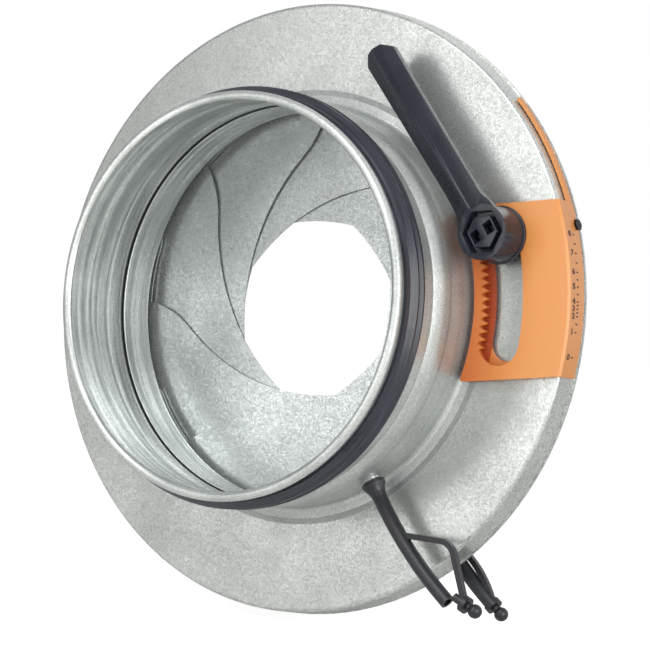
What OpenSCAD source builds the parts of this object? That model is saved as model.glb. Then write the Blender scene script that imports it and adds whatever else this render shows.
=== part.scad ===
// Iris damper for round duct: a flat drum with two sealed spigots, eight swinging blades,
// an actuating ring, and a toothed segment that a pinion and a ring wrench turn.
// The duct axis runs along Y and the front spigot points to -Y. The origin is on the axis,
// in the plane of the drum's front face. Every module is drawn facing +Z, in "damper space",
// and stood() turns it so that damper space's +Z is the front.

/* [Spigots] */
// Outside radius of the spigot tube
spigot_r = 79; // [77:0.5:82]
// Sheet thickness of all the pressed steel parts
sheet = 0.9; // [0.7:0.1:1.1]
// Length of a spigot from the drum's face to its mouth
spigot_l = 55.2; // [50:0.5:65]
// Radius of the rolled edge round the mouth
lip_r = 2.0; // [1.5:0.1:2.5]
// How much wider the spigot's base is than its tube
base_step = 1.2; // [0.8:0.1:1.8]
// Height of the bead where the base meets the tube
bead_h = 1.6; // [0.8:0.1:2.2]
// Where the bead starts, from the drum's face
bead_start = 17.5; // [15:0.5:20]
// Length of the bead along the spigot
bead_l = 11.5; // [8:0.5:13]
// Radius of the fillet between the base and its flange
base_fillet = 2.4; // [1.5:0.1:2.8]
// How far the flange reaches beyond the base
flange_w = 6.8; // [6:0.1:8]
// Width of the thinned edge of the flange
flange_edge_w = 2.3; // [1:0.1:3]
// Thickness of that edge
flange_edge_t = 0.5; // [0.3:0.05:0.6]
// Length of the throat sleeve inside the spigot
sleeve_l = 15.4; // [10:0.2:17]

/* [Seals] */
// Width of a seal along the spigot
seal_w = 9.4; // [8:0.2:11]
// Distance of a seal's front edge behind the mouth
seal_back = 3.2; // [2.6:0.1:4]
// Thickness of a seal's base band
seal_base_t = 1.3; // [1:0.1:1.6]
// Height of a seal's two lips above the tube
seal_lip_h = 3.7; // [3:0.1:4]

/* [Drum] */
// How far the drum reaches beyond the spigots' tubes
drum_w = 43; // [42:0.5:47]
// Depth of the drum
drum_depth = 12.6; // [12.4:0.2:16]
// Radius of the drum's front edge
drum_edge_r = 1.4; // [1:0.1:2]
// Depth of the rear cover's rim inside the front cover's rim
rear_rim_l = 2.4; // [1.5:0.1:2.6]
// How far the rear cover's folded edge stands out
seam_h = 0.5; // [0.3:0.1:0.8]
// Width of the slot in the rim that the tie screw travels in
rim_slot_w = 2.6; // [2.2:0.1:2.8]

/* [Blades] */
// Number of blades
blade_n = 8; // [8:1:8]
// Radius of the aperture at the most closed setting, as a share of the spigot's radius
aperture_share = 0.443; // [0.42:0.001:0.5]
// Angle that a blade swings between closed and open
blade_travel = 29.8; // [28.5:0.1:30.2]
// Thickness of a blade
blade_t = 0.5; // [0.4:0.05:0.6]
// How much larger the radius of a blade's inner edge is than the spigot's
blade_edge_w = 11; // [9:0.5:13]
// How far the blades' pivots lie outside the spigot's tube
pivot_w = 7.5; // [7:0.1:8]
// Radius of a pivot stud's journal
pivot_r = 2.0; // [1.6:0.1:2.2]
// Angle of the first pivot, from +X
first_pivot_a = 170.1; // [160:0.1:180]
// Slope of a blade, its rise for each unit of length
blade_slope = 0.036; // [0.034:0.001:0.038]
// Depth of the middle of the blade stack behind the drum's face
blade_depth = 7.6; // [7.5:0.05:7.7]

/* [Actuating ring] */
// Radius of a stud's shoulder, which centres the ring
stud_r = 3.6; // [3.4:0.1:4]
// Gap between the ring's outer edge and the drum's outside
ring_gap = 3.8; // [3.6:0.1:5]
// Thickness of the ring
ring_t = 1.0; // [0.8:0.1:1.1]
// Angle that the ring turns between closed and open
ring_travel = 24.5; // [22:0.5:24.5]
// Distance of a drive pin from its blade's pivot
drive_arm = 28; // [26:0.5:29]
// Direction of a drive pin from its blade's pivot at the open setting
drive_open_a = 45; // [42:1:48]
// Radius of a drive pin
drive_pin_r = 2.0; // [1.6:0.1:2.2]
// Angle of the tie between the ring and the toothed segment, from +X
tie_a = 23.3; // [22:0.1:25]

/* [Toothed segment] */
// Angle of the middle of the segment, from +X
segment_a = 11.7; // [10:0.1:13]
// Width of the segment across its two straight edges
segment_w = 68; // [64:0.5:72]
// Thickness of the segment's plate
segment_t = 4.2; // [4:0.1:4.6]
// Gap between the spigot's base and the segment's inner edge
segment_gap = 2.7; // [2.4:0.1:3.2]
// Radius of the plate's rounded corners
corner_r = 1.8; // [1.2:0.1:2.4]
// Thickness of the wall that wraps over the rim, at the fold
wrap_t = 2.9; // [2.6:0.1:3.2]
// How far that wall reaches back over the rim
wrap_l = 8.4; // [8.2:0.1:9]
// Thickness of the tail strip along the rim
tail_t = 1.2; // [1:0.1:1.4]
// Width of the tail strip
tail_w = 3; // [2.8:0.1:3.4]
// Angle of the tail's far end, from +X
tail_end_a = 50; // [49:0.1:53]
// Tooth module of the rack and the pinion
tooth_m = 1.0; // [1.0:0.05:1.0]
// How far the rack's pitch circle lies outside the spigot's tube
rack_w = 8.5; // [8.5:0.5:9]
// Width of the slot that the pinion's shaft runs in
shaft_slot_w = 13.8; // [12:0.1:14]
// Angle of the slot's lower end, from +X
slot_end_a = -0.1; // [-1:0.1:0]

/* [Pinion and wrench] */
// Number of teeth of the pinion
pinion_n = 20; // [20:1:20]
// Angle of the pinion's axis, from +X
pinion_a = 24.5; // [24:0.1:25.5]
// Width of the pinion's teeth
pinion_w = 1.8; // [1.5:0.1:1.9]
// Radius of the pinion's shaft
shaft_r = 4.0; // [3.5:0.1:4.3]
// Radius of the drive head's flange
head_flange_r = 11.4; // [11:0.1:12]
// Thickness of that flange
head_flange_t = 1.2; // [1:0.1:1.6]
// Width of the drive head's hexagon across its flats
hex_af = 11.8; // [11.4:0.1:12.6]
// Height of the hexagon above the flange
hex_h = 12.9; // [11:0.1:13.1]
// Direction of one of the hexagon's corners, from +X
hex_a = 11; // [0:1:20]
// Radius of the wrench's socket boss
boss_r = 10.8; // [10.4:0.1:11.2]
// Height of that boss
boss_h = 13.2; // [12.8:0.2:14]
// Width across the flats of the wide mouth of the socket
mouth_af = 16; // [15:0.1:16.4]
// Depth of that mouth
mouth_h = 5; // [3:0.5:6]
// Length of the wrench from the socket's axis to its tip
wrench_l = 90; // [80:1:95]
// Width of the wrench's bar at its tip
bar_w = 13.8; // [12:0.2:15]
// Width of the bar before it flares into the boss
bar_neck_w = 12.2; // [10:0.2:13]
// Height of the wrench's bar
bar_h = 9.4; // [8:0.2:10]
// Direction of the wrench at rest, from +X
wrench_a = 135; // [125:0.5:136]

/* [Measuring tubes] */
// Angle of both measuring tubes, from +X
tube_a = -50; // [-55:0.5:-45]
// Distance of a tube's axis from the drum's face
tube_up = 10; // [8:0.5:12]
// Outside radius of a tube
tube_r = 2.9; // [2.6:0.1:3.2]
// Radius of a tube's bore
tube_bore_r = 1.8; // [1.5:0.1:2]
// Length of a tube beyond its flared end
tube_l = 51.5; // [40:0.5:56]
// Angle that a tube curves through
tube_curve_a = 17; // [8:1:20]
// Outside radius of a tube's flared end on the nipple
flare_r = 4.9; // [4.4:0.1:5.2]
// Length of that flared end
flare_l = 6.5; // [6:0.5:10]
// Outside radius of a nipple
nipple_r = 2.4; // [2.1:0.1:2.6]
// Radius of a nipple's bore
nipple_bore_r = 1.3; // [1:0.1:1.5]
// Length of a strap before its bend
strap_l = 17; // [14:0.5:18]
// Radius of that bend
strap_bend_r = 7; // [6:0.5:9]
// Direction in which a strap leaves its tube
strap_a = 53; // [45:1:60]
// Angle that the strap of the open tube bends through
strap_turn_a = 67; // [50:1:75]
// Angle that the strap of the plugged tube bends through
plugged_turn_a = 45; // [35:1:50]
// Width of a strap
strap_w = 2.2; // [1.8:0.1:2.8]
// Thickness of a strap
strap_t = 2.4; // [1.8:0.1:2.8]
// Radius of a plug's ball end
plug_ball_r = 2.8; // [2.2:0.1:3]
// Radius of a plug's stop disc
plug_disc_r = 3.4; // [3:0.1:4]

/* [Fits] */
// Gap beside parts that move past one another
play = 0.3; // [0.25:0.05:0.35]
// Radial gap in a running bore
running = 0.05; // [0.03:0.01:0.08]
// Radial gap between parts that are pressed together
snug = 0.02; // [0.01:0.01:0.04]

/* [Hidden] */
blade_names = [for (i = [1 : blade_n]) str("blade_", i)];
pin_names = [for (i = [1 : blade_n]) str("drive_pin_", i)];
$fn = 96;
// overrun of cuts, and a small lap that joins two shapes of one solid
over = 1;
lap = 0.2;

steel = [0.74, 0.76, 0.76];
orange = [0.91, 0.52, 0.22];
black = [0.13, 0.13, 0.15];

// spigots
base_r = spigot_r + base_step;
drum_r = spigot_r + drum_w;
bead_end = bead_start + bead_l;
flange_r = base_r + flange_w;
throat_r = base_r - 2 * sheet - snug;
curve_steps = 12;

// pitch radii and the pinion's place
rack_n = round(2 * (spigot_r + rack_w) / tooth_m);
rack_r = tooth_m * rack_n / 2;
pinion_pitch_r = tooth_m * pinion_n / 2;
pinion_place_r = rack_r + pinion_pitch_r;
pinion_space_r = pinion_pitch_r + tooth_m + play;
rack_root_r = rack_r - 1.25 * tooth_m;
pressure_a = 20;
backlash = 0.16 * tooth_m;

// levels, from the drum's front face
segment_low = sheet + play;
segment_top = segment_low + segment_t;
rack_floor = segment_low + 0.19 * segment_t;
gear_low = rack_floor + play / 2;
gear_top = gear_low + pinion_w;
skin_low = gear_top + play / 2;
head_low = segment_top + play / 2;
hex_low = head_low + head_flange_t;
ring_top = -2.1 * sheet;
ring_low = ring_top - ring_t;
pivot_circle_r = spigot_r + pivot_w;
ring_in_r = pivot_circle_r + stud_r + 2 * running;
ring_out_r = drum_r - ring_gap;
clip_t = 0.75 * sheet;
shaft_low = -sheet - clip_t - running;

// the rim, its slot and the segment's wrap
rim_in_r = drum_r - sheet;
segment_in_r = base_r + segment_gap;
wrap_in_r = drum_r + play;
wrap_r = wrap_in_r + wrap_t;
// the wrap's outside leans in towards its back edge, where it is little thicker than the tail
wrap_back_r = wrap_in_r + 1.15 * tail_t;
fold_w = 0.3 * wrap_t;
rim_slot_z = -wrap_l + tail_w / 2;
tie_shank_r = 0.36 * rim_slot_w;
tie_half_a = 1.3;
tie_head_r = 2.5 * tie_shank_r;
tie_seat_r = wrap_back_r + (wrap_r - wrap_back_r) * (wrap_l + rim_slot_z + tie_head_r)
    / (wrap_l + segment_top);
lug_t = 1.3;
lug_in_r = ring_out_r + 0.7 * lug_t;
lug_half_a = 3.2;

// blades, drawn with their pivot on +X
blade_step = 360 / blade_n;
aperture_r = aperture_share * spigot_r;
blade_edge_r = spigot_r + blade_edge_w;
pivot = [pivot_circle_r, 0];
tangent_a = 90 + blade_travel / 2;
blade_out_r = ring_out_r - 1.4 * blade_t;
blade_tip_a = 92;
shoulder_a = 16.6;
shoulder_r = throat_r + 3.2 * blade_t;
shoulder_end_share = 0.768;
shoulder_end_a = shoulder_a + 9.6;
shoulder_lean = 0.15 * shoulder_r;
lobe_r = pivot_circle_r - shoulder_r;
slope_dir = 162;
tilt = asin(blade_slope);
drive_a = drive_open_a + blade_travel;
drive_place = pivot + polar(drive_arm, drive_a);
blade_ratio = blade_travel / ring_travel;
slot_steps = 16;

function polar(r, a) = [r * cos(a), r * sin(a)];
function turned(p, a) = [p.x * cos(a) - p.y * sin(a), p.x * sin(a) + p.y * cos(a)];
// place of a point of the open blade once the blade has closed
function closed(p) = pivot + turned(p - pivot, blade_travel);
// depth of the middle of a blade at a point
function blade_z(p) = -blade_depth - blade_slope * (p.x * cos(slope_dir) + p.y * sin(slope_dir));
// path of a drive pin, seen from the ring turned by a
function pin_path(a) = turned(pivot + polar(drive_arm, drive_a - blade_ratio * a), -a);
function path_dir(a) = let(d = pin_path(a + 0.1) - pin_path(a - 0.1)) atan2(d.y, d.x);
// involute of a circle, in degrees
function involute(a) = tan(a) * 180 / PI - a;
function tooth_half_a(r, pitch_r, n) =
    90 / n - backlash * 45 / (PI * pitch_r)
    + involute(pressure_a) - involute(acos(min(1, pitch_r * cos(pressure_a) / r)));
function tooth_side(root_r, tip_r, pitch_r, n, side) =
    [for (i = [0 : 4]) let(r = root_r + (tip_r - root_r) * (side > 0 ? 4 - i : i) / 4)
        [r, side * tooth_half_a(max(r, pitch_r * cos(pressure_a)), pitch_r, n)]];

// turns damper space so that its front looks to -Y
module stood() {
    rotate([90, 0, 0]) children();
}

module ring_band(in_r, out_r, low, high, from_a = 0, sweep = 360) {
    rotate([0, 0, from_a]) rotate_extrude(angle = sweep, $fn = 180)
        translate([in_r, low]) square([out_r - in_r, high - low]);
}

// outline of an arc-shaped slot with round ends, cut off outside a radius
function arc_slot_points(place_r, half_w, from_a, to_a, max_r) =
    let(steps = ceil((to_a - from_a) / 2), cap = 16,
        points = concat(
            [for (i = [0 : steps]) polar(place_r + half_w, from_a + (to_a - from_a) * i / steps)],
            [for (i = [1 : cap - 1]) polar(place_r, to_a) + polar(half_w, to_a + 180 * i / cap)],
            [for (i = [0 : steps]) polar(place_r - half_w, to_a - (to_a - from_a) * i / steps)],
            [for (i = [1 : cap - 1])
                polar(place_r, from_a) + polar(half_w, from_a + 180 + 180 * i / cap)]))
    [for (p = points) p * min(max_r, norm(p)) / norm(p)];

module arc_slot(place_r, half_w, from_a, to_a, low, high, max_r = drum_r) {
    translate([0, 0, low]) linear_extrude(high - low)
        polygon(arc_slot_points(place_r, half_w, from_a, to_a, max_r));
}

// a plain band between two radii and two angles
module arc_band(in_r, out_r, from_a, to_a, low, high) {
    steps = ceil((to_a - from_a) / 2);
    translate([0, 0, low]) linear_extrude(high - low) polygon(concat(
        [for (i = [0 : steps]) polar(out_r, from_a + (to_a - from_a) * i / steps)],
        [for (i = [0 : steps]) polar(in_r, to_a - (to_a - from_a) * i / steps)]));
}

// one spigot, its flange on z = 0 and its mouth up
module collar() {
    bump = [for (i = [0 : curve_steps]) let(s = i / curve_steps)
        [base_r - base_step * s + bead_h * sin(180 * s), bead_start + bead_l * s]];
    mouth = spigot_l - lip_r;
    difference() {
        union() {
            rotate_extrude($fn = 180) difference() {
                polygon(concat([[0, 0], [flange_r, 0], [flange_r, flange_edge_t],
                    [flange_r - flange_edge_w, flange_edge_t]],
                    [for (i = [0 : curve_steps / 2]) corner_at(i)], bump,
                    [[spigot_r, mouth], [0, mouth]]));
                polygon(concat([[0, -over], [base_r - sheet, -over]],
                    [for (p = bump) [p.x - sheet, p.y]],
                    [[spigot_r - sheet, mouth + over], [0, mouth + over]]));
            }
            rotate_extrude($fn = 180) translate([spigot_r - sheet / 2 - lip_r / 4, mouth])
                circle(r = lip_r, $fn = 32);
        }
        rotate([0, 0, tube_a]) translate([base_r - 2 * sheet, 0, tube_up])
            rotate([0, 90, 0]) cylinder(r = nipple_r + snug, h = 4 * sheet);
    }
}

// points of the fillet from the flange up to the base
function corner_at(i) = let(a = 90 * (1 - 2 * i / curve_steps))
    [base_r + base_fillet * (1 - cos(a)), sheet + base_fillet * (1 - sin(a))];

module sleeve() {
    difference() {
        ring_band(throat_r, throat_r + sheet, -sheet, sleeve_l - sheet);
        rotate([0, 0, tube_a]) translate([throat_r - over, 0, tube_up])
            rotate([0, 90, 0]) cylinder(r = nipple_bore_r, h = 2 * over + sheet);
    }
    translate([0, 0, sleeve_l - sheet]) rotate_extrude($fn = 180)
        translate([throat_r + sheet / 2, 0]) circle(r = sheet / 2, $fn = 24);
}

module gasket() {
    back = spigot_l - lip_r - seal_back - seal_w;
    in_r = spigot_r + snug;
    lip = seal_lip_h;
    w = seal_w;
    rotate_extrude($fn = 180) translate([in_r, back]) polygon([
        [0, 0], [seal_base_t, 0], [seal_base_t, 0.1 * w], [lip, 0.02 * w], [lip, 0.12 * w],
        [1.2 * seal_base_t, 0.34 * w], [1.2 * seal_base_t, 0.5 * w], [lip, 0.42 * w], [lip, 0.52 * w],
        [1.2 * seal_base_t, 0.76 * w], [seal_base_t, w], [0, w]]);
}

module front_cover() {
    edge = [for (i = [0 : 6]) let(a = 15 * i)
        [drum_r - drum_edge_r + drum_edge_r * sin(a), drum_edge_r * cos(a) - drum_edge_r]];
    inner = drum_edge_r - sheet / 2;
    color(steel) difference() {
        rotate_extrude($fn = 180) polygon(concat(
            [[base_r - sheet + snug, -sheet], [base_r - sheet + snug, 0]], edge,
            [[drum_r, sheet - drum_depth], [rim_in_r, sheet - drum_depth],
             [rim_in_r, -sheet - inner], [rim_in_r - inner, -sheet]]));
        rotate([0, 0, pinion_a]) translate([pinion_place_r, 0, -sheet - over])
            cylinder(r = shaft_r + running, h = sheet + 2 * over);
        ring_band(rim_in_r - over, drum_r + over, rim_slot_z - rim_slot_w / 2,
            rim_slot_z + rim_slot_w / 2, tie_a - tie_half_a, ring_travel + 2 * tie_half_a);
    }
}

module rear_cover() {
    color(steel) rotate_extrude($fn = 180) polygon([
        [base_r - sheet + snug, -drum_depth], [base_r - sheet + snug, sheet - drum_depth],
        [rim_in_r - sheet - running, sheet - drum_depth],
        [rim_in_r - sheet - running, sheet - drum_depth + rear_rim_l],
        [rim_in_r - running, sheet - drum_depth + rear_rim_l],
        [rim_in_r - running, sheet - drum_depth], [drum_r + seam_h, sheet - drum_depth],
        [drum_r + seam_h, -drum_depth]]);
}

module front_collar() {
    color(steel) collar();
}

module rear_collar() {
    color(steel) translate([0, 0, -drum_depth]) mirror([0, 0, 1]) collar();
}

module front_sleeve() {
    color(steel) sleeve();
}

module rear_sleeve() {
    color(steel) translate([0, 0, -drum_depth]) mirror([0, 0, 1]) sleeve();
}

module front_gasket() {
    color(black) gasket();
}

module rear_gasket() {
    color(black) translate([0, 0, -drum_depth]) mirror([0, 0, 1]) gasket();
}

// shouldered studs under the front cover that carry the blades and centre the ring
module pivot_studs() {
    z = blade_z(pivot);
    gap = blade_t / 2 + 0.4 * play + stud_r * blade_slope;
    color(steel) for (i = [0 : blade_n - 1])
        rotate([0, 0, first_pivot_a + i * blade_step]) translate([pivot_circle_r, 0, 0]) {
            translate([0, 0, z + gap]) cylinder(r = stud_r, h = -sheet - z - gap);
            translate([0, 0, z - gap]) cylinder(r = pivot_r, h = 2 * gap + lap);
            translate([0, 0, z - gap - blade_t]) cylinder(r = stud_r - play, h = blade_t);
        }
}

// point of a smooth bend from a to c that leans towards b
function bend(a, b, c, t) = (1 - t) * (1 - t) * a + 2 * t * (1 - t) * b + t * t * c;

// outline of a closed blade with its pivot on +X
function blade_outline() =
    let(centre = polar(blade_edge_r - aperture_r, tangent_a - 180),
        tip = closed(polar(throat_r + 2 * sheet, blade_tip_a)) - centre,
        tip_dir = atan2(tip.y, tip.x),
        start = polar(shoulder_r * shoulder_end_share, shoulder_end_a) - centre,
        start_dir = atan2(start.y, start.x),
        shoulder = polar(shoulder_r, shoulder_a),
        edge = centre + polar(blade_edge_r, start_dir),
        lean = edge + polar(shoulder_lean, start_dir - 90))
    concat(
        [for (i = [0 : 3]) polar(shoulder_r, shoulder_a * (1 + i) / 4)],
        [for (i = [1 : 7]) bend(shoulder, lean, edge, i / 8)],
        [for (i = [0 : 24]) centre + polar(blade_edge_r, start_dir + (tip_dir - start_dir) * i / 24)],
        [for (i = [0 : 24]) closed(polar(blade_out_r, blade_tip_a - (blade_tip_a + 4) * i / 24))],
        [for (i = [0 : 6]) pivot + polar(lobe_r, -30 - 25 * i)]);

module blade(i) {
    color(steel) rotate([0, 0, first_pivot_a + i * blade_step]) difference() {
        translate([0, 0, -blade_depth]) rotate([0, 0, slope_dir]) rotate([0, tilt, 0])
            rotate([0, 0, -slope_dir]) translate([0, 0, -blade_t / 2])
                linear_extrude(blade_t) polygon(blade_outline());
        translate([pivot.x, pivot.y, blade_z(pivot) - over])
            cylinder(r = pivot_r + 2 * running, h = 2 * over, $fn = 32);
        translate([drive_place.x, drive_place.y, blade_z(drive_place) - over])
            cylinder(r = drive_pin_r + snug, h = 2 * over, $fn = 32);
    }
}

// a stud riveted to its blade, whose journal runs in the ring's slot
module drive_pin(i) {
    z = blade_z(drive_place);
    head_r = 1.4 * drive_pin_r;
    gap = blade_t / 2 + head_r * blade_slope + snug;
    color(steel) rotate([0, 0, first_pivot_a + i * blade_step])
        translate([drive_place.x, drive_place.y, 0]) {
            translate([0, 0, z - gap - blade_t]) cylinder(r = head_r, h = blade_t, $fn = 32);
            translate([0, 0, z - gap - lap])
                cylinder(r = drive_pin_r, h = ring_top - play / 2 - z + gap + lap, $fn = 32);
            translate([0, 0, z + gap]) cylinder(r = head_r, h = ring_low - play - z - gap, $fn = 32);
        }
}

// a slot of the ring, the path of its drive pin made wider by the play
function slot_outline() =
    let(half_w = drive_pin_r + play / 2, from_a = -0.6, to_a = ring_travel + 0.6)
    concat(
        [for (i = [0 : slot_steps]) let(a = from_a + (to_a - from_a) * i / slot_steps)
            pin_path(a) + polar(half_w, path_dir(a) + 90)],
        [for (i = [1 : 5]) pin_path(to_a) + polar(half_w, path_dir(to_a) + 90 - 30 * i)],
        [for (i = [0 : slot_steps]) let(a = to_a - (to_a - from_a) * i / slot_steps)
            pin_path(a) + polar(half_w, path_dir(a) - 90)],
        [for (i = [1 : 5]) pin_path(from_a) + polar(half_w, path_dir(from_a) - 90 - 30 * i)]);

module actuating_ring() {
    lug_low = rim_slot_z - rim_slot_w / 2 - play;
    color("silver") difference() {
        union() {
            ring_band(ring_in_r, ring_out_r, ring_low, ring_top);
            ring_band(ring_out_r - over, lug_in_r + lug_t, ring_low, ring_top,
                tie_a - lug_half_a, 2 * lug_half_a);
            ring_band(lug_in_r, lug_in_r + lug_t, lug_low, ring_top, tie_a - lug_half_a, 2 * lug_half_a);
        }
        for (i = [0 : blade_n - 1]) rotate([0, 0, first_pivot_a + i * blade_step])
            translate([0, 0, ring_low - over]) linear_extrude(ring_t + 2 * over)
                polygon(slot_outline());
        rotate([0, 0, tie_a]) translate([lug_in_r - over, 0, rim_slot_z]) rotate([0, 90, 0])
            cylinder(r = tie_shank_r + snug, h = lug_t + 2 * over, $fn = 32);
    }
}

// a strip across the segment's middle line, as wide as the segment, its inner corners rounded
module segment_strip(low, high) {
    half_w = segment_w / 2;
    inner = sqrt(segment_in_r * segment_in_r - half_w * half_w);
    corner = [for (i = [0 : 4]) let(a = 90 + 22.5 * i)
        [inner + corner_r + corner_r * cos(a), half_w - corner_r + corner_r * sin(a)]];
    rotate([0, 0, segment_a]) translate([0, 0, low]) linear_extrude(high - low)
        polygon(concat([[wrap_r + over, half_w]], corner,
            [for (i = [4 : -1 : 0]) [corner[i].x, -corner[i].y]], [[wrap_r + over, -half_w]]));
}

module rack_teeth() {
    pitch_a = 360 / rack_n;
    tooth = concat(
        [[rack_root_r - lap, -0.6 * pitch_a / 2 * 1.1]],
        tooth_side(rack_root_r, rack_r + 0.8 * tooth_m, rack_r, rack_n, -1),
        tooth_side(rack_root_r, rack_r + 0.8 * tooth_m, rack_r, rack_n, 1),
        [[rack_root_r - lap, 0.6 * pitch_a / 2 * 1.1]]);
    low_i = -ceil((ring_travel + 3) / pitch_a);
    for (i = [low_i : 1]) rotate([0, 0, pinion_a + i * pitch_a])
        translate([0, 0, rack_floor - lap]) linear_extrude(segment_top - rack_floor + lap)
            polygon([for (p = tooth) polar(p[0], p[1])]);
}

module toothed_segment() {
    end_a = pinion_a - ring_travel;
    slot_r = shaft_slot_w / 2;
    window_in_r = pinion_place_r - pinion_space_r;
    window_out_r = pinion_place_r + slot_r + lap;
    color(orange) {
        difference() {
            union() {
                intersection() {
                    rotate_extrude($fn = 180) polygon([[segment_in_r, segment_low],
                        [segment_in_r, segment_top], [wrap_r - fold_w, segment_top],
                        [wrap_r, segment_top - fold_w], [wrap_back_r, -wrap_l],
                        [wrap_in_r, -wrap_l], [wrap_in_r, segment_low]]);
                    segment_strip(-wrap_l - over, segment_top + over);
                }
                ring_band(wrap_in_r + lap / 2, wrap_in_r + tail_t, lap / 2 - wrap_l, tail_w - wrap_l,
                    segment_a, tail_end_a - segment_a);
            }
            arc_slot(pinion_place_r, pinion_space_r, end_a, pinion_a, rack_floor, skin_low);
            arc_slot((window_out_r + window_in_r) / 2, (window_out_r - window_in_r) / 2, slot_end_a,
                pinion_a, skin_low - lap, segment_top + over);
            arc_slot(pinion_place_r, slot_r, slot_end_a, pinion_a, segment_low - over,
                segment_top + over);
            arc_band(pinion_place_r, pinion_place_r + pinion_space_r, end_a, pinion_a,
                segment_low - over, rack_floor + lap);
            rotate([0, 0, tie_a]) translate([wrap_in_r - over, 0, rim_slot_z]) rotate([0, 90, 0])
                cylinder(r = tie_shank_r + snug, h = wrap_t + 2 * over, $fn = 32);
        }
        rack_teeth();
    }
}

// hexagon screw that ties the segment to the ring through the rim's slot
module tie_screw() {
    color(black) rotate([0, 0, tie_a]) translate([0, 0, rim_slot_z]) {
        translate([lug_in_r, 0, 0]) rotate([0, 90, 0])
            cylinder(r = tie_shank_r, h = tie_seat_r - lug_in_r + lap, $fn = 32);
        translate([tie_seat_r + snug, 0, 0]) rotate([0, 90, 0])
            cylinder(r = tie_head_r, h = tie_shank_r, $fn = 6);
    }
}

module at_pinion() {
    rotate([0, 0, pinion_a]) translate([pinion_place_r, 0, 0]) children();
}

module pinion_gear() {
    root_r = pinion_pitch_r - 1.25 * tooth_m;
    tip_r = pinion_pitch_r + 0.9 * tooth_m;
    tooth = concat(tooth_side(root_r, tip_r, pinion_pitch_r, pinion_n, -1),
        tooth_side(root_r, tip_r, pinion_pitch_r, pinion_n, 1));
    outline = [for (i = [0 : pinion_n - 1]) for (p = tooth)
        polar(p[0], 180 + (i + 0.5) * 360 / pinion_n + p[1])];
    color(black) at_pinion() {
        translate([0, 0, gear_low]) linear_extrude(pinion_w) polygon(outline);
        translate([0, 0, shaft_low]) cylinder(r = shaft_r, h = gear_low - shaft_low + lap);
        translate([0, 0, gear_top - lap])
            cylinder(r = shaft_r, h = hex_low + 0.25 * hex_h - gear_top + lap);
    }
}

module pinion_clip() {
    color(steel) at_pinion() translate([0, 0, -sheet - clip_t]) difference() {
        cylinder(r = 1.35 * shaft_r, h = clip_t - running);
        translate([0, 0, -over]) cylinder(r = shaft_r + snug, h = clip_t + 2 * over);
    }
}

// a hexagon on the pinion's axis, turned as the drive head's
module hexagon(af, h) {
    rotate([0, 0, hex_a - pinion_a]) cylinder(r = af / 2 / cos(30), h = h, $fn = 6);
}

module drive_head() {
    core = 0.33 * hex_af;
    color(black) at_pinion() difference() {
        union() {
            translate([0, 0, head_low]) cylinder(r = head_flange_r, h = head_flange_t);
            translate([0, 0, hex_low - lap]) hexagon(hex_af, hex_h + lap);
        }
        translate([0, 0, head_low - over])
            cylinder(r = shaft_r + snug, h = hex_low - head_low + 0.25 * hex_h + snug + over);
        for (side = [-1, 1]) rotate([0, 0, hex_a + 30 - pinion_a])
            translate([side * 0.84 * core - core / 2, -0.62 * core, hex_low + 0.5 * hex_h])
                cube([core, 1.24 * core, hex_h]);
    }
}

// the bar has a ridge along its top, flares into the boss, grows wider towards its tip and
// ends in a chamfer
module wrench() {
    low = hex_low + snug;
    top = low + boss_h;
    section_shares = [[-0.5, 0.36], [-0.2, 0.02], [0.2, 0.02], [0.5, 0.36], [0.78, 0.36], [0.78, 0.49],
        [0.04, 1], [-0.04, 1], [-0.78, 0.49], [-0.78, 0.36]];
    neck_shares = [[0, 0.8], [0.5, 0.8], [0.9, 0.72], [1.3, 0.63], [1.8, 0.58]];
    chamfer = 0.25 * bar_w;
    color(black) at_pinion() difference() {
        union() {
            translate([0, 0, low]) cylinder(r = boss_r, h = boss_h);
            rotate([0, 0, wrench_a - pinion_a]) intersection() {
                translate([0, 0, top - bar_h]) rotate([90, 0, 90]) linear_extrude(wrench_l)
                    polygon([for (p = section_shares) [p[0] * bar_w, p[1] * bar_h]]);
                translate([0, 0, low]) linear_extrude(boss_h + over) polygon(concat(
                    [for (s = neck_shares) [s[0] * boss_r, -s[1] * boss_r]],
                    [[2.4 * boss_r, -bar_neck_w / 2], [wrench_l - chamfer, -bar_w / 2],
                    [wrench_l, chamfer - bar_w / 2], [wrench_l, bar_w / 2 - chamfer],
                    [wrench_l - chamfer, bar_w / 2], [2.4 * boss_r, bar_neck_w / 2]],
                    [for (i = [len(neck_shares) - 1 : -1 : 0])
                        [neck_shares[i][0] * boss_r, neck_shares[i][1] * boss_r]]));
            }
        }
        translate([0, 0, low - over]) hexagon(hex_af + play, boss_h + 2 * over);
        translate([0, 0, top - mouth_h]) hexagon(mouth_af, mouth_h + over);
    }
}

module nipple(out) {
    rotate([0, 0, tube_a]) translate([0, 0, out]) rotate([0, 90, 0]) difference() {
        union() {
            translate([0, 0, base_r - sheet + snug]) cylinder(r = nipple_r, h = sheet + flare_l);
            translate([0, 0, base_r + 4 * snug]) cylinder(r = 1.4 * nipple_r, h = sheet);
        }
        cylinder(r = nipple_bore_r, h = base_r + sheet + flare_l + over);
    }
}

module front_nipple() {
    color("silver") nipple(tube_up);
}

module rear_nipple() {
    color("silver") nipple(-drum_depth - tube_up);
}

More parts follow.
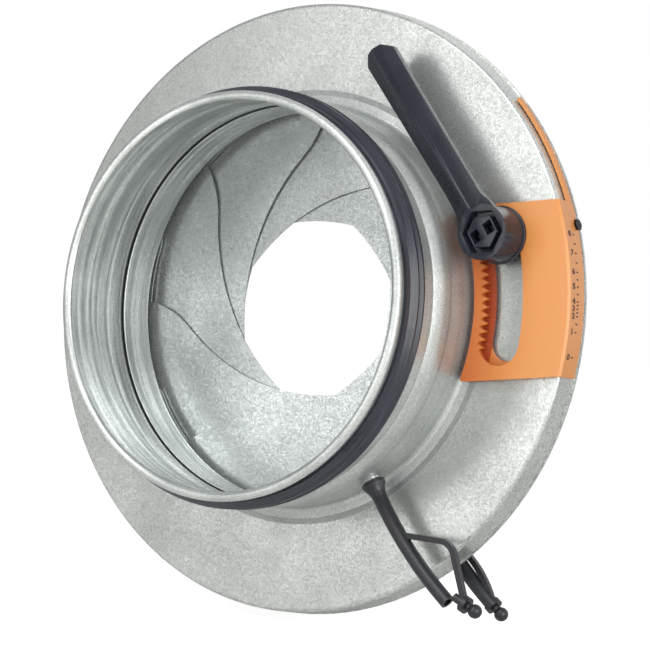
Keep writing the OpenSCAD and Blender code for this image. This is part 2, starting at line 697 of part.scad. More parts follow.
// a soft tube on its nipple, moulded in one piece with a strap and a plug
module tube(out, plugged) {
    flare_shares = [[0, 1], [0.2, 0.97], [0.45, 0.78], [0.7, 0.66]];
    bend_r = tube_l / (tube_curve_a * PI / 180);
    end = [flare_l + bend_r * sin(tube_curve_a), bend_r * (1 - cos(tube_curve_a))];
    root = [flare_l + 0.36 * tube_l, 0.95 * tube_r];
    chord = end + polar(strap_t / 2 - lap, tube_curve_a) - root;
    chord_a = atan2(chord.y, chord.x);
    bow_r = norm(chord) / 2 / sin(plugged_turn_a / 2);
    color(black) rotate([0, 0, tube_a]) translate([base_r + 2 * sheet, 0, out]) {
        rotate([0, 90, 0]) rotate_extrude() polygon(concat([[nipple_r + snug, 0]],
            [for (s = flare_shares) [flare_r * s[1], flare_l * s[0]]],
            [[tube_r, flare_l], [tube_bore_r, flare_l], [nipple_r + snug, 0.8 * flare_l]]));
        translate([flare_l, bend_r, 0]) rotate([0, 0, -90])
            rotate_extrude(angle = tube_curve_a, $fn = 180) translate([bend_r, 0]) difference() {
                circle(r = tube_r, $fn = 32);
                circle(r = tube_bore_r, $fn = 32);
            }
        if (plugged) translate([root.x, root.y, 0]) rotate([0, 0, chord_a + plugged_turn_a / 2]) {
            strap(0, bow_r, plugged_turn_a);
            translate(strap_end(0, bow_r, plugged_turn_a))
                rotate([0, 0, tube_curve_a - chord_a - plugged_turn_a / 2]) plug();
        }
        else translate([root.x, root.y, 0]) rotate([0, 0, strap_a]) {
            strap(strap_l, strap_bend_r, strap_turn_a);
            translate(strap_end(strap_l, strap_bend_r, strap_turn_a))
                rotate([0, 0, -strap_turn_a]) {
                    translate([-lap, -strap_w / 2, -strap_t / 2])
                        cube([1.17 * strap_l + lap, strap_w, strap_t]);
                    translate([1.17 * strap_l, 0, 0]) rotate([0, 0, 44]) plug();
                }
        }
    }
}

function strap_end(straight, bend_r, turn) =
    [straight + bend_r * sin(turn), -bend_r * (1 - cos(turn)), 0];

// a strap that starts along +X and then bends to its right
module strap(straight, bend_r, turn) {
    if (straight > 0) translate([0, -strap_w / 2, -strap_t / 2])
        cube([straight + lap, strap_w, strap_t]);
    translate([straight, -bend_r, 0]) rotate([0, 0, 90 - turn])
        rotate_extrude(angle = turn, $fn = 180)
            translate([bend_r - strap_w / 2, -strap_t / 2]) square([strap_w, strap_t]);
}

// a plug along +X: its peg, stop disc, neck and ball end
module plug() {
    peg_r = tube_bore_r - snug - running;
    rotate([0, 90, 0]) {
        translate([0, 0, -2 * plug_ball_r]) cylinder(r = peg_r, h = 2 * plug_ball_r + lap, $fn = 32);
        translate([0, 0, -strap_t / 2]) cylinder(r = plug_disc_r, h = strap_t, $fn = 48);
        cylinder(r = peg_r, h = 1.6 * plug_ball_r, $fn = 32);
        translate([0, 0, 1.8 * plug_ball_r]) sphere(r = plug_ball_r, $fn = 32);
    }
}

module front_tube() {
    tube(tube_up, false);
}

module rear_tube() {
    tube(-drum_depth - tube_up, true);
}

stood() {
    front_cover();
    rear_cover();
    front_collar();
    rear_collar();
    front_sleeve();
    rear_sleeve();
    front_gasket();
    rear_gasket();
    pivot_studs();
    front_nipple();
    rear_nipple();
    front_tube();
    rear_tube();
    actuating_ring();
    toothed_segment();
    tie_screw();
    pinion_gear();
    pinion_clip();
    drive_head();
    wrench();
    for (i = [0 : blade_n - 1]) {
        blade(i);
        drive_pin(i);
    }
}
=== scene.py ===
import math

import bmesh
import bpy
from mathutils import Matrix, Vector


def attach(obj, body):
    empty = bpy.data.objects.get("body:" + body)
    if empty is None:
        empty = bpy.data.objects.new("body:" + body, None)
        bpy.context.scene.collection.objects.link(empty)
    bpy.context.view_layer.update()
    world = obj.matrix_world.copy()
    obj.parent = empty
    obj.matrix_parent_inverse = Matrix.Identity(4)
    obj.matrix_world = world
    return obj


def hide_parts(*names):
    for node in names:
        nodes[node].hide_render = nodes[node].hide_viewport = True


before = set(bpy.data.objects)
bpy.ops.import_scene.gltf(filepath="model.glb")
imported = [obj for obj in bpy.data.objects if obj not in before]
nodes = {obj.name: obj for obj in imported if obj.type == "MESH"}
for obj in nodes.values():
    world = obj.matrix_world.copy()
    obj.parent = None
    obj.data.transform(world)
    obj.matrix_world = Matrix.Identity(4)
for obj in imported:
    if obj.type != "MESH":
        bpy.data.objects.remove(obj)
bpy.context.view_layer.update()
print("damper frame loaded:", len(nodes), "parts")

# metres; the damper's axis runs along Y, its front looks to -Y, and its drum begins at Y 0
mm = 0.001


def hexColor(code):
    # sRGB hex to the linear values that the shader sockets take
    parts = [int(code[i:i + 2], 16) / 255 for i in (1, 3, 5)]
    return [c / 12.92 if c < 0.04045 else ((c + 0.055) / 1.055) ** 2.4 for c in parts] + [1.0]


def addNode(tree, kind, settings=None, inputs=None, stops=None):
    # one node with its settings, its values or links, and the stops of its ramp
    node = tree.nodes.new(kind)
    for name, value in (settings or {}).items():
        setattr(node, name, value)
    for name, value in (inputs or {}).items():
        if isinstance(value, bpy.types.NodeSocket):
            tree.links.new(value, node.inputs[name])
        else:
            node.inputs[name].default_value = value
    if stops:
        ramp = node.color_ramp
        while len(ramp.elements) < len(stops):
            ramp.elements.new(0.5)
        for element, (place, color) in zip(ramp.elements, stops):
            element.position = place
            element.color = hexColor(color)
    return node


def newMaterial(name):
    material = bpy.data.materials.new(name)
    material.use_nodes = True
    material.node_tree.nodes.clear()
    return material, material.node_tree


# Camera

cameraFacts = {
    "azimuth": 0.6006,        # radians, from the front towards the right
    "elevation": 0.01755,     # radians
    "roll": 0.1665,           # radians, the camera leans to its left
    "distance": 1.5015,       # metres from the damper's middle
    "pictureWidth": 650,      # pixels
    "focalPixels": 3757.7,    # focal length in those pixels
    "middleX": -20.6,         # the damper's middle, in pixels from the picture's
    "middleY": -18.7,
    "sensor": 36.0,           # mm
    "farClip": 50,            # metres
}


def makeCamera():
    facts = cameraFacts
    a, e, r = facts["azimuth"], facts["elevation"], facts["roll"]
    back = Vector((math.sin(a) * math.cos(e), -math.cos(a) * math.cos(e), math.sin(e)))
    right = Vector((0, 0, 1)).cross(back).normalized()
    up = back.cross(right)
    rolledRight = right * math.cos(r) + up * math.sin(r)
    rolledUp = up * math.cos(r) - right * math.sin(r)
    data = bpy.data.cameras.new("photoCamera")
    data.sensor_width = facts["sensor"]
    data.lens = facts["focalPixels"] / facts["pictureWidth"] * facts["sensor"]
    data.shift_x = -facts["middleX"] / facts["pictureWidth"]
    data.shift_y = facts["middleY"] / facts["pictureWidth"]
    data.clip_end = facts["farClip"]
    camera = bpy.data.objects.new("photoCamera", data)
    bpy.context.scene.collection.objects.link(camera)
    turn = Matrix((rolledRight, rolledUp, back)).transposed().to_4x4()
    camera.matrix_world = Matrix.Translation(back * facts["distance"]) @ turn
    bpy.context.scene.camera = camera


makeCamera()
print("camera placed")


# Studio: a pale floor, white surroundings and soft lamps

studio = {
    "floorLevel": -0.1265,    # metres, just under the drum
    "floorSize": 12.0,        # metres
    "floorColor": "#F2F2F0",
    "floorGlow": 0.75,        # lifts the floor to white for the camera, with its shadow kept
    "floorGlowColor": "#FFFFFF",
    "floorGlossShare": 0.12,  # share of that lift that gloss sees
    "surroundings": "#FFFFFF",
    "ambient": 0.32,          # their light on matt surfaces
    "glossLeft": 0.20,        # what gloss sees at the front left, against 1 at the back right
    "glossMiddle": 0.5,       # place of straight up between those two
    "glossRight": 0.35,       # step from there to the right, and to the back
    "glossBack": 0.5,
    "glossFull": 0.8,         # place from which gloss sees all of it
    "lamps": [
        # name, place, aim, width, height, watts
        # seen in the flat cover and in the blades
        ("frontSoftbox", (-0.10, -0.62, 0.02), (-0.10, 0, 0.02), 0.70, 0.85, 3.2),
        # lights the far inner wall of the spigot and the segment's wrap
        ("rightSoftbox", (1.05, -0.42, 0.12), (0.05, 0, 0), 0.7, 0.9, 10.0),
        # a weak fill into the corner between the cover and the spigot
        ("cameraSoftbox", (0.80, -1.10, -0.10), (0.05, 0, 0), 0.6, 0.7, 2.0),
        # gives the wrench's facets and the upper rims their edge
        ("topSoftbox", (0.0, -0.85, 0.72), (0, 0, 0), 0.6, 0.5, 4.5),
    ],
}


def makeWorld():
    facts = studio
    world = bpy.data.worlds.new("studioWorld")
    bpy.context.scene.world = world
    world.use_nodes = True
    tree = world.node_tree
    tree.nodes.clear()
    path = addNode(tree, "ShaderNodeLightPath")
    place = addNode(tree, "ShaderNodeTexCoord")
    parts = addNode(tree, "ShaderNodeSeparateXYZ", inputs={"Vector": place.outputs["Generated"]})
    # gloss sees white behind and at the sides, and a little less light from the front left
    side = addNode(tree, "ShaderNodeMath", {"operation": "MULTIPLY_ADD"}, {
        0: parts.outputs["X"], 1: facts["glossRight"], 2: facts["glossMiddle"]})
    front = addNode(tree, "ShaderNodeMath", {"operation": "MULTIPLY_ADD"}, {
        0: parts.outputs["Y"], 1: facts["glossBack"], 2: side.outputs[0]})
    level = addNode(tree, "ShaderNodeMapRange", inputs={
        "Value": front.outputs[0], "From Min": 0.0, "From Max": facts["glossFull"],
        "To Min": facts["glossLeft"], "To Max": 1.0})
    seen = addNode(tree, "ShaderNodeMath", {"operation": "MAXIMUM"}, {
        0: path.outputs["Is Camera Ray"], 1: path.outputs["Is Transmission Ray"]})
    gloss = addNode(tree, "ShaderNodeMix", {"data_type": "FLOAT"}, {
        "Factor": path.outputs["Is Glossy Ray"], 2: facts["ambient"], 3: level.outputs["Result"]})
    strength = addNode(tree, "ShaderNodeMix", {"data_type": "FLOAT"}, {
        "Factor": seen.outputs[0], 2: gloss.outputs[0], 3: 1.0})
    sky = addNode(tree, "ShaderNodeBackground", inputs={
        "Color": hexColor(facts["surroundings"]), "Strength": strength.outputs[0]})
    addNode(tree, "ShaderNodeOutputWorld", inputs={"Surface": sky.outputs[0]})


def makeFloor():
    facts = studio
    bm = bmesh.new()
    bmesh.ops.create_grid(bm, x_segments=2, y_segments=2, size=facts["floorSize"] / 2)
    bmesh.ops.translate(bm, verts=bm.verts, vec=(0, 0, facts["floorLevel"]))
    mesh = bpy.data.meshes.new("paleFloor")
    bm.to_mesh(mesh)
    bm.free()
    floor = bpy.data.objects.new("paleFloor", mesh)
    bpy.context.scene.collection.objects.link(floor)
    # matt white board; the camera sees it lifted to white, and gloss a little lifted
    material, tree = newMaterial("whiteStudioBoard")
    path = addNode(tree, "ShaderNodeLightPath")
    seen = addNode(tree, "ShaderNodeMath", {"operation": "MAXIMUM"}, {
        0: path.outputs["Is Camera Ray"], 1: path.outputs["Is Transmission Ray"]})
    lift = addNode(tree, "ShaderNodeMath", {"operation": "MULTIPLY_ADD"}, {
        0: path.outputs["Is Glossy Ray"], 1: facts["floorGlossShare"], 2: seen.outputs[0]})
    board = addNode(tree, "ShaderNodeBsdfDiffuse", inputs={"Color": hexColor(facts["floorColor"])})
    glow = addNode(tree, "ShaderNodeEmission", inputs={
        "Color": hexColor(facts["floorGlowColor"]), "Strength": facts["floorGlow"]})
    both = addNode(tree, "ShaderNodeAddShader", inputs={0: board.outputs[0], 1: glow.outputs[0]})
    mixed = addNode(tree, "ShaderNodeMixShader", inputs={
        0: lift.outputs[0], 1: board.outputs[0], 2: both.outputs[0]})
    addNode(tree, "ShaderNodeOutputMaterial", inputs={"Surface": mixed.outputs[0]})
    mesh.materials.append(material)


def makeLamps():
    for name, place, aim, width, height, watts in studio["lamps"]:
        data = bpy.data.lights.new(name, "AREA")
        data.shape = "RECTANGLE"
        data.size = width
        data.size_y = height
        data.energy = watts
        lamp = bpy.data.objects.new(name, data)
        bpy.context.scene.collection.objects.link(lamp)
        direction = Vector(aim) - Vector(place)
        lamp.rotation_euler = direction.to_track_quat("-Z", "Y").to_euler()
        lamp.location = place
        lamp.visible_camera = False


bpy.context.scene.view_settings.view_transform = "Standard"
makeWorld()
makeFloor()
makeLamps()
print("studio lit")


# Materials

def acrossAxis(tree, place):
    # the place on a piece without its share along the damper's axis
    return addNode(tree, "ShaderNodeVectorMath", {"operation": "MULTIPLY"}, {
        0: place, 1: (1, 0, 1)}).outputs[0]


# Galvanised sheet

sheetFinish = {
    "grain": 0.7,             # mm, size of the small zinc crystals
    "gritShare": 0.6,         # size of the grit, against the crystals
    "patch": 22.0,            # mm, size of the soft clouds in the zinc
    "grainWeight": 0.30,      # what crystals and clouds add to the grit in the sheet's tone
    "patchWeight": 0.35,
    "toneRange": (0.50, 1.12),   # tones of the dark and of the pale colour
    "pit": 2.6,               # mm, spacing of the fine dark pits
    "pitRange": (0.08, 0.18),    # a pit's core and its rim, as shares of that spacing
    "pitStrength": 0.45,
    "pitColor": "#5F6461",
    "glossRange": (0.5, 1.3),    # tones of the dullest and of the glossiest grains
    "glossSpread": 0.07,      # roughness, up and down
    "bump": 0.014,            # mm
    "bumpStrength": 0.9,
    "metal": 0.72,            # the dull grey film on the zinc takes the rest
}

rollMarks = {
    "width": 2.8,             # mm, across a mark that the rolls leave around a pressed ring
    "length": 70,             # mm, along it
    "outsideShare": 0.2,      # strength of the marks on the outside, against the inside
    "turn": (-0.3, 0.1),      # facing to and from the axis, where inside and outside begin
    "outsideDull": 0.13,      # roughness that the outside has more than the burnished inside
}

# painted shade: a dark ring on the collar's inner wall, in the crevice in front of the throat
# sleeve
throatCreviceShade = {
    "middleY": 6.3,           # mm, the drum's middle plane
    "reach": 22.9,            # mm from there, where the painted shade ends, in front of the sleeve's lip
    "reachEdge": (-0.5, 0.3),    # mm, its soft edge there
    "radius": 79.05,          # mm, between the sleeve and the collar's inner wall
    "radiusEdge": 0.1,        # mm
    # colour of the painted shade
    "color": "#232527",
}


def insideShare(tree, flat):
    # 1 on faces that look to the damper's axis, 0 on those that look away
    facing = addNode(tree, "ShaderNodeNewGeometry").outputs["Normal"]
    outward = addNode(tree, "ShaderNodeVectorMath", {"operation": "NORMALIZE"}, {0: flat})
    side = addNode(tree, "ShaderNodeVectorMath", {"operation": "DOT_PRODUCT"}, {
        0: facing, 1: outward.outputs[0]})
    return addNode(tree, "ShaderNodeMapRange", inputs={
        "Value": side.outputs["Value"], "From Min": rollMarks["turn"][0],
        "From Max": rollMarks["turn"][1], "To Min": 1.0, "To Max": 0.0}).outputs[0]


def addRollMarks(tree, place, inside, tone, rolled):
    # dark and pale lines around the axis, strong on the inside
    along, across = 1 / (rollMarks["length"] * mm), 1 / (rollMarks["width"] * mm)
    around = addNode(tree, "ShaderNodeMapping", inputs={
        "Vector": place, "Scale": (along, across, along)})
    bands = addNode(tree, "ShaderNodeTexNoise", inputs={
        "Vector": around.outputs[0], "Scale": 1.0, "Detail": 3.0, "Roughness": 0.6})
    off = addNode(tree, "ShaderNodeMath", {"operation": "SUBTRACT"}, {
        0: bands.outputs[0], 1: 0.5})
    share = addNode(tree, "ShaderNodeMapRange", inputs={
        "Value": inside, "To Min": rollMarks["outsideShare"] * rolled, "To Max": rolled})
    return addNode(tree, "ShaderNodeMath", {"operation": "MULTIPLY_ADD"}, {
        0: off.outputs[0], 1: share.outputs[0], 2: tone}).outputs[0]


def addThroatCreviceShade(tree, place, flat, inside, color):
    # painted shade: a dark ring on the collar's inner wall, in the crevice in front of the throat
    # sleeve
    facts = throatCreviceShade
    parts = addNode(tree, "ShaderNodeSeparateXYZ", inputs={"Vector": place})
    fromMiddle = addNode(tree, "ShaderNodeMath", {"operation": "SUBTRACT"}, {
        0: parts.outputs["Y"], 1: facts["middleY"] * mm})
    depth = addNode(tree, "ShaderNodeMath", {"operation": "ABSOLUTE"}, {0: fromMiddle.outputs[0]})
    behind = addNode(tree, "ShaderNodeMapRange", inputs={
        "Value": depth.outputs[0], "From Min": (facts["reach"] + facts["reachEdge"][0]) * mm,
        "From Max": (facts["reach"] + facts["reachEdge"][1]) * mm, "To Min": 1.0, "To Max": 0.0})
    radius = addNode(tree, "ShaderNodeVectorMath", {"operation": "LENGTH"}, {0: flat})
    beyond = addNode(tree, "ShaderNodeMapRange", inputs={
        "Value": radius.outputs["Value"],
        "From Min": (facts["radius"] - facts["radiusEdge"]) * mm,
        "From Max": (facts["radius"] + facts["radiusEdge"]) * mm})
    ring = addNode(tree, "ShaderNodeMath", {"operation": "MULTIPLY"}, {
        0: behind.outputs[0], 1: beyond.outputs[0]})
    creviceShade = addNode(tree, "ShaderNodeMath", {"operation": "MULTIPLY"}, {
        0: ring.outputs[0], 1: inside})
    return addNode(tree, "ShaderNodeMix", {"data_type": "RGBA"}, {
        0: creviceShade.outputs[0], 6: color, 7: hexColor(facts["color"])}).outputs[2]


def galvanisedSheet(name, dark, pale, roughness, grainShare=1.0, rolled=0.0):
    # hot-dip galvanised steel sheet, skin-passed: pale grey, a fine speckle of zinc grains,
    # soft clouds, sparse dark pits, and a satin gloss that changes from grain to grain
    facts = sheetFinish
    material, tree = newMaterial(name)
    place = addNode(tree, "ShaderNodeTexCoord").outputs["Object"]
    grain = addNode(tree, "ShaderNodeTexVoronoi", {"feature": "F1"}, {
        "Vector": place, "Scale": 1 / (facts["grain"] * mm)})
    grainTone = addNode(tree, "ShaderNodeSeparateColor", inputs={"Color": grain.outputs["Color"]})
    grit = addNode(tree, "ShaderNodeTexNoise", inputs={
        "Vector": place, "Scale": 1 / (facts["gritShare"] * facts["grain"] * mm),
        "Detail": 3.0, "Roughness": 0.65})
    cloud = addNode(tree, "ShaderNodeTexNoise", inputs={
        "Vector": place, "Scale": 1 / (facts["patch"] * mm), "Detail": 1.5, "Roughness": 0.5})
    grains = addNode(tree, "ShaderNodeMath", {"operation": "MULTIPLY_ADD"}, {
        0: grainTone.outputs[0], 1: facts["grainWeight"] * grainShare, 2: grit.outputs[0]})
    tone = addNode(tree, "ShaderNodeMath", {"operation": "MULTIPLY_ADD"}, {
        0: cloud.outputs[0], 1: facts["patchWeight"], 2: grains.outputs[0]}).outputs[0]
    if rolled:
        flat = acrossAxis(tree, place)
        inside = insideShare(tree, flat)
        tone = addRollMarks(tree, place, inside, tone, rolled)
    shade = addNode(tree, "ShaderNodeMapRange", inputs={
        "Value": tone, "From Min": facts["toneRange"][0], "From Max": facts["toneRange"][1]})
    color = addNode(tree, "ShaderNodeValToRGB", inputs={"Fac": shade.outputs[0]},
                    stops=[(0.0, dark), (1.0, pale)])
    pits = addNode(tree, "ShaderNodeTexVoronoi", {"feature": "F1"}, {
        "Vector": place, "Scale": 1 / (facts["pit"] * mm)})
    pitShare = addNode(tree, "ShaderNodeMapRange", inputs={
        "Value": pits.outputs["Distance"], "From Min": facts["pitRange"][0],
        "From Max": facts["pitRange"][1], "To Min": facts["pitStrength"] * grainShare,
        "To Max": 0.0})
    skinColor = addNode(tree, "ShaderNodeMix", {"data_type": "RGBA"}, {
        0: pitShare.outputs[0], 6: color.outputs[0], 7: hexColor(facts["pitColor"])}).outputs[2]
    gloss = addNode(tree, "ShaderNodeMapRange", inputs={
        "Value": tone, "From Min": facts["glossRange"][0], "From Max": facts["glossRange"][1],
        "To Min": roughness + facts["glossSpread"],
        "To Max": roughness - facts["glossSpread"]}).outputs[0]
    # painted shade in the crevice in front of the throat sleeve, and a duller outside
    if rolled:
        skinColor = addThroatCreviceShade(tree, place, flat, inside, skinColor)
        duller = addNode(tree, "ShaderNodeMapRange", inputs={
            "Value": inside, "To Min": rollMarks["outsideDull"], "To Max": 0.0})
        gloss = addNode(tree, "ShaderNodeMath", {"operation": "ADD"}, {
            0: gloss, 1: duller.outputs[0]}).outputs[0]
    bump = addNode(tree, "ShaderNodeBump", inputs={
        "Height": grains.outputs[0], "Distance": facts["bump"] * mm * grainShare,
        "Strength": facts["bumpStrength"]})
    skin = addNode(tree, "ShaderNodeBsdfPrincipled", inputs={
        "Base Color": skinColor, "Metallic": facts["metal"], "Roughness": gloss,
        "Normal": bump.outputs[0]})
    addNode(tree, "ShaderNodeOutputMaterial", inputs={"Surface": skin.outputs[0]})
    return material


# flat cover sheet: pale satin grey with an even speckle
zincSheet = galvanisedSheet("galvanisedSteelSheet", "#989D9B", "#DFE1DE", 0.28)
# pressed and rolled rings: half the speckle, lines around the axis, and painted shade in the
# crevice in front of the throat sleeve
zincPressed = galvanisedSheet("galvanisedSteelPressed", "#979C9A", "#E0E3E1", 0.27,
                              grainShare=0.5, rolled=1.8)
# thin blades: a little darker, with the strongest speckle
zincBlade = galvanisedSheet("galvanisedSteelBlade", "#8C9292", "#DADEDD", 0.28, grainShare=1.1)
# electroplated turned parts: brighter and smoother, with almost no speckle
platedSteel = galvanisedSheet("zincPlatedSteel", "#B4B8B8", "#DADDDD", 0.25, grainShare=0.25)


# Nylon, rubber, blackened steel and ink

mouldMarks = {
    "grain": 0.35,            # mm, the mould's eroded grain, drawn coarser so that it shows
    "flow": 30.0,             # mm, size of the faint clouds of flow
    "flowRange": (0.3, 0.7),  # clouds of the dark and of the pale colour
    "streakLength": 25,       # mm, a flow line along an extruded ring
    "grainRange": (0.3, 0.7),    # grain of the glossiest and of the dullest spots
    "glossier": 0.04,         # roughness, down and up
    "duller": 0.05,
    "bump": 0.012,            # mm
    "bumpStrength": 0.7,
}

# painted shade on the orange segment: deepest near the spigot and in the rack's gaps
segmentPaintedShade = {
    "inner": 84.0,            # mm from the axis, where the painted shade deepens the orange most
    "outer": 119.0,           # mm, where the orange is palest, without painted shade
    "flowWeight": 0.5,        # what the clouds of flow add to that
    "fadeRange": (0.2, 1.0),  # fades of the dark and of the pale colour
    "toothRadius": 91.0,      # mm, the rack's teeth and their gaps lie inside it
    "toothEdge": 0.4,         # mm
    "gapFrom": -4.8,          # Y in mm, where the painted shade in the rack's gaps begins, and where it is darkest
    "gapTo": -2.4,
    "gapShadeColor": "#983C16",
}


def segmentShadedColor(tree, place, flow, dark, pale):
    # painted shade: deeper orange towards the spigot, and red-brown in the gaps of the rack, where
    # no light comes
    facts = segmentPaintedShade
    radius = addNode(tree, "ShaderNodeVectorMath", {"operation": "LENGTH"}, {
        0: acrossAxis(tree, place)}).outputs["Value"]
    outer = addNode(tree, "ShaderNodeMapRange", inputs={
        "Value": radius, "From Min": facts["inner"] * mm, "From Max": facts["outer"] * mm})
    fade = addNode(tree, "ShaderNodeMath", {"operation": "MULTIPLY_ADD"}, {
        0: flow, 1: facts["flowWeight"], 2: outer.outputs[0]})
    color = addNode(tree, "ShaderNodeValToRGB", inputs={"Fac": fade.outputs[0]},
                    stops=[(facts["fadeRange"][0], dark), (facts["fadeRange"][1], pale)])
    toothed = addNode(tree, "ShaderNodeMapRange", inputs={
        "Value": radius, "From Min": facts["toothRadius"] * mm,
        "From Max": (facts["toothRadius"] + facts["toothEdge"]) * mm,
        "To Min": 1.0, "To Max": 0.0})
    parts = addNode(tree, "ShaderNodeSeparateXYZ", inputs={"Vector": place})
    under = addNode(tree, "ShaderNodeMapRange", inputs={
        "Value": parts.outputs["Y"], "From Min": facts["gapFrom"] * mm,
        "From Max": facts["gapTo"] * mm})
    # painted shade: red-brown in the rack's gaps, deeper than the plate's face
    gap = addNode(tree, "ShaderNodeMath", {"operation": "MULTIPLY"}, {
        0: toothed.outputs[0], 1: under.outputs[0]})
    return addNode(tree, "ShaderNodeMix", {"data_type": "RGBA"}, {
        0: gap.outputs[0], 6: color.outputs[0], 7: hexColor(facts["gapShadeColor"])}).outputs[2]


def evenFinish(name, dark, pale, roughness, metallic=0.0, streak=None, segment=False):
    # an even colour with faint clouds of flow and a fine grain in the gloss
    facts = mouldMarks
    material, tree = newMaterial(name)
    place = addNode(tree, "ShaderNodeTexCoord").outputs["Object"]
    if streak:
        # flow lines of an extruded ring, long around the axis and fine across it
        along, across = 1 / (facts["streakLength"] * mm), 1 / (streak * mm)
        around = addNode(tree, "ShaderNodeMapping", inputs={
            "Vector": place, "Scale": (along, across, along)})
        flow = addNode(tree, "ShaderNodeTexNoise", inputs={
            "Vector": around.outputs[0], "Scale": 1.0, "Detail": 3.0, "Roughness": 0.65})
    else:
        flow = addNode(tree, "ShaderNodeTexNoise", inputs={
            "Vector": place, "Scale": 1 / (facts["flow"] * mm), "Detail": 2.0, "Distortion": 0.6})
    # the segment's orange, with painted shade towards the spigot and in the rack's gaps
    if segment:
        color = segmentShadedColor(tree, place, flow.outputs[0], dark, pale)
    else:
        color = addNode(tree, "ShaderNodeValToRGB", inputs={"Fac": flow.outputs[0]}, stops=[
            (facts["flowRange"][0], dark), (facts["flowRange"][1], pale)]).outputs[0]
    grain = addNode(tree, "ShaderNodeTexNoise", inputs={
        "Vector": place, "Scale": 1 / (facts["grain"] * mm), "Detail": 2.0})
    gloss = addNode(tree, "ShaderNodeMapRange", inputs={
        "Value": grain.outputs[0], "From Min": facts["grainRange"][0],
        "From Max": facts["grainRange"][1], "To Min": roughness - facts["glossier"],
        "To Max": roughness + facts["duller"]})
    bump = addNode(tree, "ShaderNodeBump", inputs={
        "Height": grain.outputs[0], "Distance": facts["bump"] * mm,
        "Strength": facts["bumpStrength"]})
    skin = addNode(tree, "ShaderNodeBsdfPrincipled", inputs={
        "Base Color": color, "Metallic": metallic, "Roughness": gloss.outputs[0],
        "Normal": bump.outputs[0]})
    addNode(tree, "ShaderNodeOutputMaterial", inputs={"Surface": skin.outputs[0]})
    return material


# black oxide on turned steel: dark and satin, with a metal's highlights
blackSteel = evenFinish("blackenedSteel", "#1C1C1F", "#29292D", 0.35, metallic=0.8)
# injection-moulded nylon: a warm orange, with painted shade that deepens it towards the spigot and
# turns the rack's gaps red-brown
orangeNylon = evenFinish("orangeMouldedNylon", "#BF642A", "#CB8648", 0.34, segment=True)
# glass-filled nylon: blue-black, with soft highlights along the edges
blackNylon = evenFinish("blackGlassFilledNylon", "#191B23", "#282A35", 0.27)
# extruded seal rubber: black, with fine paler lines along the lips
sealRubber = evenFinish("epdmSealRubber", "#101117", "#30333F", 0.30, streak=0.7)
# moulded rubber: black and a little duller
tubeRubber = evenFinish("softMouldedRubber", "#101116", "#1B1C23", 0.38)
# pad-printed ink: a matt dark brown over the orange
scaleInk = evenFinish("brownPrintedInk", "#35160C", "#431D10", 0.55)
print("materials made")

bladeNumbers = range(1, 9)
finishes = {
    zincSheet: ["front_cover", "rear_cover"],
    zincPressed: ["front_collar", "rear_collar", "front_sleeve", "rear_sleeve"],
    zincBlade: ["blade_%d" % i for i in bladeNumbers],
    platedSteel: ["actuating_ring", "pivot_studs", "pinion_clip", "front_nipple", "rear_nipple"]
    + ["drive_pin_%d" % i for i in bladeNumbers],
    blackSteel: ["tie_screw", "pinion_gear"],
    orangeNylon: ["toothed_segment"],
    blackNylon: ["drive_head", "wrench"],
    sealRubber: ["front_gasket", "rear_gasket"],
    tubeRubber: ["front_tube", "rear_tube"],
}
for material, names in finishes.items():
    for name in names:
        nodes[name].material_slots[0].material = material
print("finishes given to the parts")


# Moulded parts with softened edges. Each is a merged copy of its CAD part and stands for it.

softEdges = {
    # radius in mm, least angle of an edge that is softened in degrees
    "wrench": {"radius": 0.3, "angle": 20, "body": "pinion", "slot": "black_plastic"},
    "drive_head": {"radius": 0.25, "angle": 28, "body": "pinion", "slot": "black_plastic"},
}

softening = {
    "weld": 0.002,            # mm, distance at which corners are merged
    "flat": 0.6,              # degrees, faces that differ less become one
    "segments": 3,
    "smooth": 35,             # degrees, edges that stay below it are shaded smooth
}


def softenedCopy(name, facts):
    mesh = nodes[name].data.copy()
    mesh.name = name + "Softened"
    bm = bmesh.new()
    bm.from_mesh(mesh)
    bmesh.ops.remove_doubles(bm, verts=bm.verts, dist=softening["weld"] * mm)
    bmesh.ops.dissolve_limit(bm, angle_limit=math.radians(softening["flat"]), verts=bm.verts,
                             edges=bm.edges)
    sharp = [e for e in bm.edges if len(e.link_faces) == 2
             and e.calc_face_angle(0) > math.radians(facts["angle"])]
    bmesh.ops.bevel(bm, geom=sharp, offset=facts["radius"] * mm, offset_type="OFFSET",
                    segments=softening["segments"], profile=0.5, affect="EDGES",
                    clamp_overlap=True, material=-1)
    bmesh.ops.remove_doubles(bm, verts=bm.verts, dist=softening["weld"] * mm)
    bm.to_mesh(mesh)
    bm.free()
    mesh.shade_smooth()
    mesh.set_sharp_from_angle(angle=math.radians(softening["smooth"]))
    piece = bpy.data.objects.new(name + "Softened", mesh)
    bpy.context.scene.collection.objects.link(piece)
    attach(piece, facts["body"])
    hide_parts(name)


for name, facts in softEdges.items():
    softenedCopy(name, facts)
    print("softened", name)


# The printed scale on the segment's wrap: plain digits and tick marks

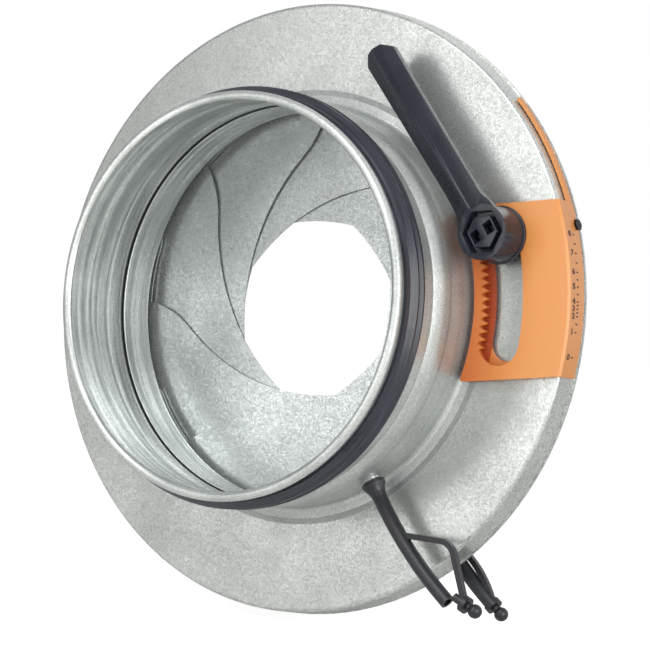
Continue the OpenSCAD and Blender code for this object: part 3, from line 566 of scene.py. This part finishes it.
scale = {
    # digit and its angle around the axis, in degrees up from the right
    "digits": [("8", 21.3), ("7", 17.9), ("6", 14.5), ("5", 11.9), ("4", 9.3), ("3", 8.0),
               ("2", 6.7), ("1", 3.9), ("0", -0.6)],
    "halves": [19.6, 16.2, 13.2, 10.6, 8.65, 7.35, 5.3],   # ticks between the digits
    "digitY": -1.3,           # mm behind the drum's front face, for the digits and the ticks
    "tickY": 2.2,
    "digitHeight": 2.1,       # mm
    "fontShare": 1.4,         # size of the font, against a digit's height
    "digitStretch": 1.7,      # the digits are wide, so that they read from the front
    "digitWeight": 0.07,      # added to the strokes, as a share of the height
    "digitSteps": 4,          # straight pieces in a digit's curve
    "tickLength": 1.7,        # mm
    "tickWidth": 0.6,         # mm
    "ink": 0.03,              # mm that the ink stands proud
    "foldRadius": 125.2,      # mm, the wrap's outside at its fold and at its back edge
    "foldY": -4.53,
    "backRadius": 123.68,
    "backY": 8.4,
    "middleRadius": 124.5,    # mm, for lengths around the wrap
}


def onWrap(y, angle, proud):
    share = (y - scale["foldY"]) / (scale["backY"] - scale["foldY"])
    r = scale["foldRadius"] + (scale["backRadius"] - scale["foldRadius"]) * share + proud
    a = math.radians(angle)
    return Vector((r * math.cos(a), y, r * math.sin(a))) * mm


def addDigit(bm, digit, angle, perDegree):
    curve = bpy.data.curves.new("digit" + digit, "FONT")
    curve.body = digit
    curve.size = scale["digitHeight"] * scale["fontShare"]
    curve.align_x = "CENTER"
    curve.align_y = "CENTER"
    curve.resolution_u = scale["digitSteps"]
    curve.offset = scale["digitHeight"] * scale["digitWeight"]
    holder = bpy.data.objects.new("digit" + digit, curve)
    flat = bpy.data.meshes.new_from_object(holder)
    part = bmesh.new()
    part.from_mesh(flat)
    bmesh.ops.triangulate(part, faces=part.faces)
    for v in part.verts:
        v.co = onWrap(scale["digitY"] + v.co.x * scale["digitStretch"],
                      angle + v.co.y / perDegree, scale["ink"])
    part.to_mesh(flat)
    part.free()
    bm.from_mesh(flat)
    bpy.data.objects.remove(holder)
    bpy.data.curves.remove(curve)
    bpy.data.meshes.remove(flat)


def addTick(bm, angle, perDegree):
    made = bmesh.ops.create_grid(bm, x_segments=2, y_segments=1, size=0.5)["verts"]
    for v in made:
        v.co = onWrap(scale["tickY"] + v.co.x * scale["tickLength"],
                      angle + v.co.y * scale["tickWidth"] / perDegree, scale["ink"])


def makeScale():
    bm = bmesh.new()
    perDegree = math.radians(1) * scale["middleRadius"]
    for digit, angle in scale["digits"]:
        addDigit(bm, digit, angle, perDegree)
    for angle in [a for _, a in scale["digits"]] + scale["halves"]:
        addTick(bm, angle, perDegree)
    mesh = bpy.data.meshes.new("segmentScale")
    bm.to_mesh(mesh)
    bm.free()
    piece = bpy.data.objects.new("segmentScale", mesh)
    bpy.context.scene.collection.objects.link(piece)
    mesh.materials.append(scaleInk)
    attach(piece, "ring")


makeScale()
print("scale printed")

bpy.context.view_layer.update()
